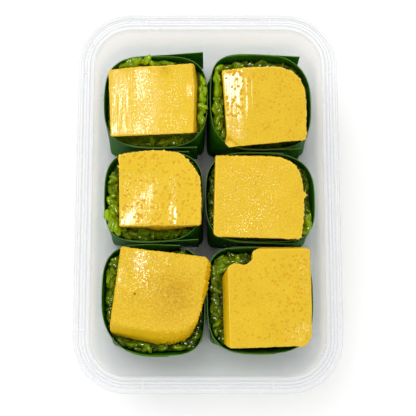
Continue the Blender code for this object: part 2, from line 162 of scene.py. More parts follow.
class Wire:
    def __init__(self, tree, socket=None):
        self.tree = tree
        self.socket = socket

    def node(self, kind, settings=None, sockets=None, output=0):
        made = self.tree.nodes.new("ShaderNode" + kind)
        for name, value in (settings or {}).items():
            setattr(made, name, value)
        for name, value in (sockets or {}).items():
            self.feed(made.inputs[name], value)
        return Wire(self.tree, made.outputs[output])

    def feed(self, socket, value):
        if isinstance(value, Wire):
            self.tree.links.new(value.socket, socket)
        else:
            socket.default_value = value

    def maths(self, operation, first, second=0.0):
        return self.node("Math", {"operation": operation}, {0: first, 1: second})

    def __add__(self, other):
        return self.maths("ADD", self, other)

    def __sub__(self, other):
        return self.maths("SUBTRACT", self, other)

    def __rsub__(self, other):
        return self.maths("SUBTRACT", other, self)

    def __mul__(self, other):
        return self.maths("MULTIPLY", self, other)

    def __abs__(self):
        return self.maths("ABSOLUTE", self)

    __radd__ = __add__
    __rmul__ = __mul__

    def step(self, low, high):
        # nought below low, one above high, with a soft turn between them
        sockets = {"Value": self, "From Min": low, "From Max": high}
        return self.node("MapRange", {"interpolation_type": "SMOOTHSTEP"}, sockets)

    def between(self, first, second):
        # a colour between the first one, where the wire is nought, and the second
        return self.node("Mix", {"data_type": "RGBA"}, {0: self, 6: first, 7: second}, output=2)

    def parts(self):
        # the three values of a vector
        outputs = self.node("SeparateXYZ", {}, {"Vector": self}).socket.node.outputs
        return [Wire(self.tree, outputs[axis]) for axis in "XYZ"]

    def noise(self, scale, detail=2.0):
        # smooth noise over the place that the wire holds
        return self.node("TexNoise", {}, {"Vector": self, "Scale": scale, "Detail": detail})

    def mark(self, name):
        # a value that the piece's points carry as an attribute
        return self.node("Attribute", {"attribute_name": name}, output="Fac")

    def relief(self, strength, distance):
        # the wire's value as a height, for a shader's Normal
        return self.node("Bump", {}, {"Strength": strength, "Distance": distance, "Height": self})


def colour(red, green, blue):
    # a linear colour from what a picture shows, 0 to 255
    shown = [value / 255 for value in (red, green, blue)]
    linear = [v / 12.92 if v <= 0.04045 else ((v + 0.055) / 1.055) ** 2.4 for v in shown]
    return (*linear, 1.0)


def startFinish(name, constants):
    material = bpy.data.materials.new(name)
    material.use_nodes = True
    shader = material.node_tree.nodes["Principled BSDF"]
    for socket, value in constants.items():
        shader.inputs[socket].default_value = value
    return material, shader, Wire(material.node_tree)


def feedShader(shader, wires):
    for socket, wire in wires.items():
        wire.feed(shader.inputs[socket], wire)


def shownTones(look):
    return {name: colour(*shown) for name, shown in look["tones"].items()}


# The clear box: a rounded block whose top and underside are inset step by step

clearBox = {
    "corner": 24.5 * mm,
    "cornerSegments": 20,
    "skirtDepth": 3.0 * mm,
    "rimTop": 49.0 * mm,
    # steps inwards over the rim and down to the floor, and from the skirt to the underside:
    # each one's width and rise in millimetres
    "topSteps": (
        (0.25, 0.7), (0.45, 0.3), (1.2, -0.1), (0.35, -0.35), (0.55, -0.65), (0.9, 0.0),
        (0.3, 0.35), (0.3, 0.35), (0.6, 0.0), (0.6, -0.5), (0.35, 0.5), (0.35, 0.2), (0.7, 0.0),
        (0.3, -0.2), (0.2, -0.4), (1.8, -46.5), (0.12, -0.65), (0.42, -0.6), (0.6, -0.44),
        (0.66, -0.1),
    ),
    "undersideSteps": (
        (0.8, 0.0), (0.0, -1.8), (5.7, 0.0), (1.8, 46.0), (0.14, 0.7), (0.4, 0.56), (0.9, 0.44),
        (1.26, 0.1),
    ),
    # the ribs of one quarter in millimetres: x, y, size across and size along
    "ribs": ((28.7, 84.4, 0.6, 4.8), (57.0, 59.4, 4.8, 0.6)),
    "ribHeight": 1.1 * mm,
    "ribTop": 49.75 * mm,
    "ribBevel": 0.15 * mm,
    "smoothAngle": 28,
}


def stepInwards(steps):
    # insets the selected face again and again, or pulls it straight where a step has no width
    for width, rise in steps:
        if width == 0:
            shift = {"value": (0, 0, rise * mm), "orient_type": "NORMAL"}
            bpy.ops.mesh.extrude_region_move(TRANSFORM_OT_translate=shift)
        else:
            bpy.ops.mesh.inset(thickness=width * mm, depth=rise * mm, use_even_offset=True)


def makeRibs():
    ribs = []
    for x, y, sizeX, sizeY in clearBox["ribs"]:
        for sideX in (-1, 1):
            for sideY in (-1, 1):
                level = clearBox["ribTop"] - clearBox["ribHeight"] / 2
                middle = (x * sideX * mm, y * sideY * mm, level)
                bpy.ops.mesh.primitive_cube_add(size=1, location=middle)
                rib = bpy.context.object
                rib.scale = (sizeX * mm, sizeY * mm, clearBox["ribHeight"])
                placeInMesh(rib)
                applyModifier(rib, "BEVEL", width=clearBox["ribBevel"], segments=2)
                ribs.append(rib)
    pick(*ribs)
    bpy.ops.object.join()
    return bpy.context.object


def makeClearBox(material):
    low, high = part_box("container")
    size = high - low
    middle = clearBox["rimTop"] - clearBox["skirtDepth"] / 2
    pick()
    bpy.ops.mesh.primitive_cube_add(size=1, location=(0, 0, middle))
    piece = bpy.context.object
    piece.scale = (size.x, size.y, clearBox["skirtDepth"])
    placeInMesh(piece)
    selectParts(piece, "EDGE", lambda edge: abs(edge.verts[0].co.z - edge.verts[1].co.z) > mm)
    bpy.ops.mesh.bevel(offset=clearBox["corner"], segments=clearBox["cornerSegments"])
    selectParts(piece, "FACE", lambda face: face.normal.z > 0.9)
    stepInwards(clearBox["topSteps"])
    selectParts(piece, "FACE", lambda face: face.normal.z < -0.9 and len(face.verts) > 8)
    stepInwards(clearBox["undersideSteps"])
    bpy.ops.object.mode_set(mode="OBJECT")
    ribs = makeRibs()
    applyModifier(piece, "BOOLEAN", operation="UNION", solver="EXACT", object=ribs)
    bpy.data.objects.remove(ribs)
    angle = clearBox["smoothAngle"]
    return finishPiece(piece, "clearBox", ["container"], material, angle)


clearPlastic = {
    "constants": {"IOR": 1.5, "Specular IOR Level": 0.16},
    "tones": {
        "thin": (231, 233, 238), "thick": (243, 245, 249), "rim": (223, 225, 229),
        # the groove tone is a painted shade for the slopes of the rim's grooves
        # the shade tone is a painted shade for the floor strip between the cups
        "grooveShade": (198, 201, 205), "shade": (70, 80, 58),
    },
    # heights over which the rim begins, the slopes of its grooves begin and end, and the
    # floor ends
    "rimFrom": (45 * mm, 47 * mm),
    "slopeFrom": (48.85 * mm, 49.05 * mm),
    "slopeTo": (49.4 * mm, 49.55 * mm),
    "floorTo": (3 * mm, 8 * mm),
    # where the painted shade on the strip of floor between the two columns of cups fades out, across and
    # along
    "stripSide": (3 * mm, 8 * mm),
    "stripEnd": (46 * mm, 56 * mm),
}


def clearPlasticFinish():
    material, shader, wire = startFinish("clearPlastic", clearPlastic["constants"])
    tones = shownTones(clearPlastic)
    place = wire.node("TexCoord", output="Object")
    haze = place.noise(45.0, 3.0)
    across, along, height = place.parts()
    # the rim is the milkiest, and the slopes of its grooves are painted darker grey: painted shade that
    # draws the rim's lines
    rim = height.step(*clearPlastic["rimFrom"])
    slope = height.step(*clearPlastic["slopeFrom"]) * (1 - height.step(*clearPlastic["slopeTo"]))
    milky = rim.between(haze.between(tones["thin"], tones["thick"]), tones["rim"])
    lined = (slope * 0.7).between(milky, tones["grooveShade"])
    # painted shade: the floor strip between the two columns of cups is painted dark green and made less
    # clear, standing in for the shade the cups cast there
    beside = abs(across).step(*clearPlastic["stripSide"])
    beyond = abs(along).step(*clearPlastic["stripEnd"])
    shade = (1 - beside) * (1 - beyond) * (1 - height.step(*clearPlastic["floorTo"]))
    feedShader(shader, {
        "Base Color": shade.between(lined, tones["shade"]),
        "Alpha": 0.18 + haze * 0.08 + rim * 0.07 + slope * 0.08 + shade * 0.35,
        "Roughness": 0.3 + haze * 0.15,
        "Normal": place.noise(900.0).relief(0.03, 0.05 * mm),
    })
    return material


# Leaf cups: two bands of leaf, the outer one open on the right, the inner one on the left

leafCup = {
    "thickness": 0.35 * mm,
    "outerSet": 0.42 * mm,
    "innerSet": 0.02 * mm,
    "foot": 1.35 * mm,
    "lip": 31.0 * mm,
    "lipWave": 0.4 * mm,
    "waveTurn": 1.3,
    "flapFoot": 6.0 * mm,
    "rows": 10,
    "ringColumns": 128,
    "flapColumns": 8,
    "smoothPasses": 10,
    # over these shares of the height the smoothing sets in
    "smoothOver": (-0.1, 0.6),
    "floorCorners": 72,
    "smoothAngle": 50,
    # rays find the CAD leaf between the first two heights, and past them the wall runs on
    # with the slope that it has from the last two
    "foundBetween": (3 * mm, 30 * mm),
    "slopeFrom": (7 * mm, 26 * mm),
    # where an outer band without a free front end stops, in degrees
    "hiddenEnd": 285,
}

# Free ends of each outer band, from the ring to the cut, and the inner band's two ends as
# angles in degrees, counted from the right.
leafBands = {
    "back_left": {
        "backEnd": ((-26, 73.7), (-2.4, 75.6)), "frontEnd": ((-24, 27.9), (-5.3, 28.4)),
        "inner": (-126, 128),
    },
    "back_right": {
        "backEnd": ((20, 74.8), (44.4, 73.4)), "frontEnd": ((26, 27.1), (44.6, 27.7)),
        "inner": (-122, 126),
    },
    "middle_left": {
        "backEnd": ((-22, 26.4), (-9.0, 26.2)), "frontEnd": ((-26, -17.4), (-4.6, -16.0)),
        "inner": (-124, 130),
    },
    "middle_right": {
        "backEnd": ((22, 25.7), (36.0, 25.2)), "frontEnd": ((20, -17.7), (44.0, -18.3)),
        "inner": (-128, 124),
    },
    "front_left": {
        "backEnd": ((-22, -18.8), (-13.0, -19.0)), "frontEnd": None,
        "inner": (-118, 59),
    },
    "front_right": {
        "backEnd": ((22, -19.7), (34.0, -19.9)), "frontEnd": None,
        "inner": (-120, 122),
    },
}


class CupWall:
    # where the CAD leaf stands round a cup, found by rays from the cup's middle
    def __init__(self, place):
        low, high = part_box("rice_" + place)
        self.middle = (low + high) / 2
        self.tree = nodeTree("leaf_cup_" + place)
        self.phase = cupPlaces.index(place) * leafCup["waveTurn"]

    def hit(self, ray, height):
        start = Vector((self.middle.x, self.middle.y, height))
        return self.tree.ray_cast(start, ray)[0]

    def point(self, angle, height, outwards):
        # a point on the inner face, moved outwards, also above and below where rays hit
        ray = Vector((math.cos(angle), math.sin(angle), 0))
        lowest, highest = leafCup["foundBetween"]
        level = min(max(height, lowest), highest)
        found = self.hit(ray, level)
        if level != height:
            toward = leafCup["slopeFrom"][0 if height < level else 1]
            other = self.hit(ray, toward)
            found = found + (found - other) * ((height - level) / (level - toward))
        return found + ray * outwards

    def lipHeight(self, angle):
        return leafCup["lip"] + leafCup["lipWave"] * math.sin(2 * angle + self.phase)

    def angleOf(self, spot):
        return math.atan2(spot[1] * mm - self.middle.y, spot[0] * mm - self.middle.x)


def bandColumn(wall, angle, outwards):
    foot, lip = leafCup["foot"], wall.lipHeight(angle)
    rows = leafCup["rows"]
    heights = [foot + (lip - foot) * row / rows for row in range(rows + 1)]
    return [wall.point(angle, height, outwards) for height in heights]


def flapColumns(wall, end):
    # columns from the cut end of a flap back to the ring, where its foot leans with the wall
    near, far = (Vector((x, y)) * mm for x, y in end)
    angle = wall.angleOf(end[0])
    lip, foot = wall.lipHeight(angle), leafCup["flapFoot"]
    lean = wall.point(angle, foot, 0).y - wall.point(angle, lip, 0).y
    columns = []
    count, rows = leafCup["flapColumns"], leafCup["rows"]
    for step in range(count):
        share = 1 - step / count
        spot = near.lerp(far, share)
        column = []
        for row in range(rows + 1):
            up = row / rows
            shift = lean * (1 - up) * (1 - share)
            column.append(Vector((spot.x, spot.y + shift, foot + (lip - foot) * up)))
        columns.append(column)
    return columns


def ringColumns(wall, start, end, outwards):
    count = round(leafCup["ringColumns"] * abs(end - start) / (2 * math.pi))
    angles = [start + (end - start) * step / count for step in range(count + 1)]
    return [bandColumn(wall, angle, outwards) for angle in angles]


def smoothColumns(columns):
    # evens out the facets along the band, least at its square foot, and leaves its two ends
    grid = np.array([[tuple(point) for point in column] for column in columns])
    up = np.linspace(0, 1, grid.shape[1])
    share = ease(up, *leafCup["smoothOver"])[None, :, None]
    for _ in range(leafCup["smoothPasses"]):
        grid[1:-1] += ((grid[:-2] + 2 * grid[1:-1] + grid[2:]) / 4 - grid[1:-1]) * share
    return grid


def makeBand(columns, name):
    grid = smoothColumns(columns)
    across, up = grid.shape[0], grid.shape[1]
    pick()
    bpy.ops.mesh.primitive_grid_add(x_subdivisions=across - 1, y_subdivisions=up - 1, size=1)
    band = bpy.context.object
    band.name = name
    flat = readPoints(band.data)
    column = np.rint((flat[:, 0] + 0.5) * (across - 1)).astype(int)
    row = np.rint((flat[:, 1] + 0.5) * (up - 1)).astype(int)
    writePoints(band.data, grid[column, row])
    thickness = leafCup["thickness"]
    applyModifier(band, "SOLIDIFY", thickness=thickness, offset=0.0, use_even_offset=True)
    return band


def makeCupFloor(wall):
    # the leaf under the rice, seen through the box from below
    pick()
    corners = leafCup["floorCorners"]
    bpy.ops.mesh.primitive_circle_add(vertices=corners, radius=1, fill_type="NGON", calc_uvs=True)
    base = bpy.context.object
    spots = readPoints(base.data)
    for index, spot in enumerate(spots):
        edge = wall.point(math.atan2(spot[1], spot[0]), leafCup["foot"], 0)
        spots[index] = (edge.x, edge.y, leafCup["foot"] + leafCup["thickness"])
    writePoints(base.data, spots)
    applyModifier(base, "SOLIDIFY", thickness=leafCup["thickness"], offset=-1.0)
    return base


def makeLeafCup(place, material):
    wall = CupWall(place)
    band = leafBands[place]
    start = wall.angleOf(band["backEnd"][0])
    columns = flapColumns(wall, band["backEnd"])
    front = band["frontEnd"]
    end = wall.angleOf(front[0]) % (2 * math.pi) if front else math.radians(leafCup["hiddenEnd"])
    columns += ringColumns(wall, start, end, leafCup["outerSet"])
    if front:
        columns += flapColumns(wall, front)[::-1]
    outer = makeBand(columns, "outer")
    first, last = (math.radians(value) for value in band["inner"])
    inner = makeBand(ringColumns(wall, first, last, leafCup["innerSet"]), "inner")
    base = makeCupFloor(wall)
    pick(inner, base, outer)
    bpy.ops.object.join()
    angle = leafCup["smoothAngle"]
    return finishPiece(outer, "leafCup_" + place, ["leaf_cup_" + place], material, angle)


leafLook = {
    "constants": {
        "Specular IOR Level": 0.05, "Coat Roughness": 0.3, "Subsurface Weight": 0.35,
        "Subsurface Radius": (0.35, 1.0, 0.05), "Subsurface Scale": 1.6 * mm,
    },
    "tones": {
        "deep": (26, 82, 0), "light": (44, 112, 0), "vein": (64, 134, 8), "lip": (92, 132, 36),
    },
}


def leafFinish():
    material, shader, wire = startFinish("leaf", leafLook["constants"])
    tones = shownTones(leafLook)
    # the strip's own map: fine veins run along it, and its lip is a pale line
    strip = wire.node("TexCoord", output="UV")
    veins = wire.node("Mapping", {}, {"Vector": strip, "Scale": (3.0, 70.0, 1.0)}).noise(1.0, 3.0)
    veinMask = veins.step(0.4, 0.68)
    lip = strip.parts()[1].step(0.975, 0.995)
    broad = wire.node("TexCoord", output="Object").noise(60.0, 3.0)
    ground = broad.step(0.3, 0.7).between(tones["deep"], tones["light"])
    veined = (veinMask * 0.45).between(ground, tones["vein"])
    feedShader(shader, {
        "Base Color": (lip * 0.55).between(veined, tones["lip"]),
        "Roughness": 0.42 + broad * 0.16,
        "Coat Weight": veinMask * 0.06,
        "Normal": veins.relief(0.35, 0.1 * mm),
    })
    return material


# Rice: a lumpy core with real grains laid over what shows of it

riceHeap = {
    "kindSeed": 5,
    "seed": 60,
    "coreVoxel": 0.8 * mm,
    "voxel": 0.42 * mm,
    "coreSink": 0.3 * mm,
    "lumpSize": 2.4 * mm,
    "lumpHeight": 0.4 * mm,
    "grainLength": 5.9 * mm,
    "grainWidth": 2.6 * mm,
    "grainKinds": 5,
    # a grain's shape: how much thicker its ends are and how uneven, how much of its length
    # stays, how far it bends in millimetres, the size and depth of its dents, and its
    # thickness as a share of its width
    "endThickness": 0.3,
    "taper": 0.16,
    "shortening": 0.94,
    "bends": (0.2, 0.6),
    "dentSize": 1.6 * mm,
    "dentDepth": 0.25,
    "thickness": (0.8, 0.95),
    # how high a layer's grains lie over the core in millimetres, how close they may come as a
    # share of their width, how many are tried and how far they tip
    "stuckLayers": ((0.0, 0.42, 3200, 0.3), (0.6, 0.5, 2200, 0.5)),
    "looseLayers": ((1.1, 0.62, 1500, 0.4),),
    "grainSizes": (0.8, 1.08),
    "liftSpread": 0.3,
    # a grain's middle line reaches this share of its length both ways, and keeps this share
    # of its half width clear of slabs and leaves
    "reach": 0.37,
    "clearance": 0.84,
    # how far over the heap and over a grain the rays start that look for rice
    "dropFrom": 5 * mm,
    "lookFrom": 9 * mm,
    # grains tip less above the first height, and may hang out a little above the second
    "flatAbove": 30 * mm,
    "flatShare": 0.3,
    "overLip": 32.3 * mm,
    "overhang": 1.1 * mm,
    # lumps and mounds lift the core where it faces up this far
    "upFacing": (0.3, 0.9),
    # painted light: how pale each cup's rice is painted, standing in for how much light reaches each cup,
    # and what share of the tone that is
    "cupShare": 0.35,
    "paleness": {
        "back_left": 1.0, "back_right": 0.25, "middle_left": 0.8, "middle_right": 0.5,
        "front_left": -0.25, "front_right": -0.25,
    },
    # where the grains stand higher than the CAD rice, in millimetres: x, y, half width, half
    # length, how much
    "mounds": {
        "back_left": ((-31, 68.5, 13, 4, 3.2), (-2.0, 49, 3.5, 14, 2.8), (-4, 67, 6, 5, -2.5)),
        "back_right": (
            (3.5, 53, 4, 14, 5.0), (25.5, 68.5, 4, 3, 3.2), (10, 66.5, 4, 3, 2.2), (42, 66, 8, 6, -2.5),
        ),
        "middle_left": ((-45, -8, 3.5, 9, 1.6), (-44, 18, 4, 6, -2.0)),
        "middle_right": ((46, -12, 3.5, 6, 1.2), (44, 14, 4, 14, -3.5)),
        "front_left": ((-43, -40, 3.5, 14, 1.6),),
        "front_right": ((4, -28, 8, 10, 1.5),),
    },
    # painted shade: between these heights the rice turns from dark, painted for the shade deep in the
    # cup, to its full green
    "shadedBelow": 23.5 * mm,
    "litAbove": 31.5 * mm,
}


def moundAt(place, spot):
    rise = 0
    for x, y, halfX, halfY, most in riceHeap["mounds"][place]:
        away = ((spot.x / mm - x) / halfX) ** 2 + ((spot.y / mm - y) / halfY) ** 2
        rise += most * mm * math.exp(-away)
    return rise


def makeGrainKinds(rng):
    kinds = []
    for number in range(riceHeap["grainKinds"]):
        pick()
        bpy.ops.mesh.primitive_ico_sphere_add(subdivisions=2, radius=0.5)
        grain = bpy.context.object
        width = riceHeap["grainWidth"]
        grain.scale = (riceHeap["grainLength"], width, width * rng.uniform(*riceHeap["thickness"]))
        placeInMesh(grain)
        points = readPoints(grain.data)
        along = points[:, 0] / riceHeap["grainLength"] * 2
        # blunt ends, one fatter than the other, and a slight bend
        taper = riceHeap["taper"] * rng.uniform(-1, 1)
        points[:, 1:] *= (1 + riceHeap["endThickness"] * along**2 + taper * along)[:, None]
        points[:, 0] *= riceHeap["shortening"]
        points[:, 1] += (along**2 - 0.4) * rng.uniform(*riceHeap["bends"]) * mm
        dents = unevenness(points, riceHeap["dentSize"], number)[:, None]
        points += dents * points * riceHeap["dentDepth"]
        writePoints(grain.data, points)
        kinds.append((points, [tuple(face.vertices) for face in grain.data.polygons]))
        bpy.data.objects.remove(grain)
    return kinds


def turned(direction, roll):
    # the turn that lays a grain's length along a direction
    return direction.to_track_quat("X", "Z").to_matrix() @ Matrix.Rotation(roll, 3, "X")


def layGrains(place, layers, rng, leaf, slab):
    # darts over the CAD rice: each grain keeps clear of slabs, leaves and other grains
    rice = nodeTree("rice_" + place)
    low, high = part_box("rice_" + place)
    heart = (low + high) / 2
    down = Vector((0, 0, -1))
    length, width = riceHeap["grainLength"], riceHeap["grainWidth"]
    spread = riceHeap["liftSpread"]
    start = high.z + riceHeap["dropFrom"]
    laid = []
    for lift, spacing, tries, tip in layers:
        taken = np.zeros((0, 3))
        for _ in range(tries):
            spot = Vector((rng.uniform(low.x, high.x), rng.uniform(low.y, high.y), start))
            ground = rice.ray_cast(spot, down)[0]
            turn = rng.uniform(0, 2 * math.pi)
            tilt = rng.uniform(-1, 1) * tip
            size = rng.uniform(*riceHeap["grainSizes"])
            roll = rng.uniform(0, 2 * math.pi)
            rise = rng.uniform(-spread, spread)
            if ground is None or slab.ray_cast(ground, -down)[0] is not None:
                continue
            if ground.z > riceHeap["flatAbove"]:
                tilt *= riceHeap["flatShare"]
            middle = ground + Vector((0, 0, (lift + rise) * mm + moundAt(place, ground)))
            direction = Vector((math.cos(turn), math.sin(turn), tilt)).normalized()
            reach = length * size * riceHeap["reach"]
            spots = [middle + direction * reach * share for share in (-1, -0.5, 0, 0.5, 1)]
            gap = width * size / 2 * riceHeap["clearance"]
            if any(tree.find_nearest(point)[3] < gap for point in spots for tree in (leaf, slab)):
                continue
            # nothing hangs out past the heap, and only a little over the lip
            above = []
            for point in spots:
                inwards = (heart - point).xy.normalized() * riceHeap["overhang"]
                shift = inwards if point.z > riceHeap["overLip"] else Vector((0, 0))
                above.append(point + Vector((shift.x, shift.y, riceHeap["lookFrom"])))
            if any(rice.ray_cast(point, down)[0] is None for point in above):
                continue
            fresh = np.array([tuple(point) for point in spots])
            if len(taken):
                apart = np.linalg.norm(taken[:, None, :] - fresh[None, :, :], axis=2).min()
                if apart < width * spacing:
                    continue
            taken = np.concatenate((taken, fresh))
            laid.append((middle, direction, roll, size, rng.random()))
    return laid


def makeGrains(name, laid, kinds):
    # one mesh of all the grains, each with its own tone, whose far digits pick its kind
    points, faces, tones = [], [], []
    total = 0
    for middle, direction, roll, size, tone in laid:
        shape, sides = kinds[int(tone * 997) % len(kinds)]
        turn = np.array(turned(direction, roll))
        points.append(shape * size @ turn.T + np.array(middle))
        faces += [tuple(index + total for index in side) for side in sides]
        tones += [tone] * len(shape)
        total += len(shape)
    mesh = bpy.data.meshes.new(name)
    mesh.from_pydata(np.concatenate(points).tolist(), [], faces)
    writeAttribute(mesh, "grainTone", np.array(tones))
    piece = bpy.data.objects.new(name, mesh)
    bpy.context.scene.collection.objects.link(piece)
    return piece


def makeRice(place, kinds, material, looseMaterial):
    # the lower grains stick to the core in one mass, and loose ones lie on top
    rng = random.Random(riceHeap["seed"] + cupPlaces.index(place))
    around = [nodeTree(*(kind + other for other in cupPlaces)) for kind in ("leaf_cup_", "custard_")]
    core = copyOfNode("rice_" + place, "riceMass_" + place)
    applyModifier(core, "REMESH", mode="VOXEL", voxel_size=riceHeap["coreVoxel"])
    points = readPoints(core.data)
    upper = ease(readPoints(core.data, "normal")[:, 2], *riceHeap["upFacing"])
    lumps = unevenness(points, riceHeap["lumpSize"], cupPlaces.index(place))
    mounds = np.array([moundAt(place, Vector(point)) for point in points])
    points[:, 2] += (lumps * riceHeap["lumpHeight"] - riceHeap["coreSink"] + mounds) * upper
    writePoints(core.data, points)
    stuck = makeGrains("stuck", layGrains(place, riceHeap["stuckLayers"], rng, *around), kinds)
    pick(stuck, core)
    bpy.ops.object.join()
    applyModifier(core, "REMESH", mode="VOXEL", voxel_size=riceHeap["voxel"])
    applyModifier(core, "SMOOTH", factor=0.5, iterations=1)
    laid = layGrains(place, riceHeap["looseLayers"], rng, *around)
    loose = makeGrains("riceGrains_" + place, laid, kinds)
    mass = finishPiece(core, "riceMass_" + place, ["rice_" + place], material)
    finishPiece(loose, loose.name, ["rice_" + place], looseMaterial)
    # painted light and shade: each cup's rice is painted paler or darker as a whole, and darker the lower
    # it lies in the cup, standing in for the light that reaches it
    share = riceHeap["cupShare"]
    for piece in (mass, loose):
        raised = ease(readPoints(piece.data)[:, 2], riceHeap["shadedBelow"], riceHeap["litAbove"])
        tone = riceHeap["paleness"][place] * share + raised * (1 - share)
        writeAttribute(piece.data, "tone", tone)
    return mass, loose


riceLook = {
    "constants": {
        "Subsurface Weight": 0.4, "Subsurface Radius": (0.6, 1.0, 0.1), "Subsurface Scale": 2.0 * mm,
        "Specular IOR Level": 0.08, "Coat Roughness": 0.07,
    },
    "tones": {
        # the dark and pale ends also carry the painted light and shade of each cup and of the low rice
        "riceMassDark": (34, 52, 0), "riceMassPale": (142, 178, 2),
        "riceGrainDark": (42, 64, 0), "riceGrainPale": (158, 192, 8),
    },
}


def riceFinish(name, ownTones):
    # own tones are those that each loose grain carries
    material, shader, wire = startFinish(name, riceLook["constants"])
    tones = shownTones(riceLook)
    place = wire.node("TexCoord", output="Object")
    cloud = place.noise(240.0, 3.0)
    fine = place.noise(1300.0)
    tone = cloud.step(0.32, 0.68)
    if ownTones:
        tone = tone * 0.4 + wire.mark("grainTone") * 0.6
    # painted light and shade: the tone mark carries each cup's painted paleness and the painted shade low
    # in the cup, mixed here with the random tone
    paleness = tone * 0.35 + wire.mark("tone") * 0.65
    feedShader(shader, {
        "Base Color": paleness.between(tones[name + "Dark"], tones[name + "Pale"]),
        "Roughness": 0.48 - cloud.step(0.45, 0.7) * 0.2,
        "Coat Weight": place.noise(1100.0, 1.0).step(0.46, 0.56),
        "Normal": (fine + cloud).relief(0.3, 0.2 * mm),
    })
    return material


# Custard: the CAD slab remade with a fine skin, then pitted, scored and torn

custardSkin = {
    "seed": 40,
    "voxel": 0.31 * mm,
    "fineRelief": 0.045 * mm,
    "fineSize": 0.9 * mm,
    "coarseSize": 3.2 * mm,
    "broadRelief": 0.12 * mm,
    "broadSize": 11 * mm,
    # knife scores: their noise is drawn out from front to back, and has gaps
    "scoreDepth": 0.06 * mm,
    "scoreSize": 0.75 * mm,
    "scoreStretch": (1, 0.045, 0),
    "scoreGaps": 6 * mm,
    # sides: spongy all round, with upright teeth where the slab was torn
    "sideRelief": 0.16 * mm,
    "toothDepth": 0.9 * mm,
    "toothSize": 0.95 * mm,
    "toothStretch": (1, 1, 0.45),
    "leastTorn": 0.12,
    "tornFade": 12,
    # how far up the skin faces where the side ends, the top begins and the top is level, and
    # how far under the highest point the top begins
    "sideFacing": (0.3, 0.8),
    "topFacing": (0.55, 0.92),
    "levelFacing": (0.9, 0.99),
    "topFrom": (4 * mm, 2 * mm),
    # the crease along a cut corner, and the corner past it
    "creaseWidth": 0.45 * mm,
    "creaseDepth": 0.7 * mm,
    "cutSlope": 0.9 * mm,
    "cutRelief": 1.2 * mm,
    # a pit's depth as a share of its radius
    "pitDepth": 0.14,
}
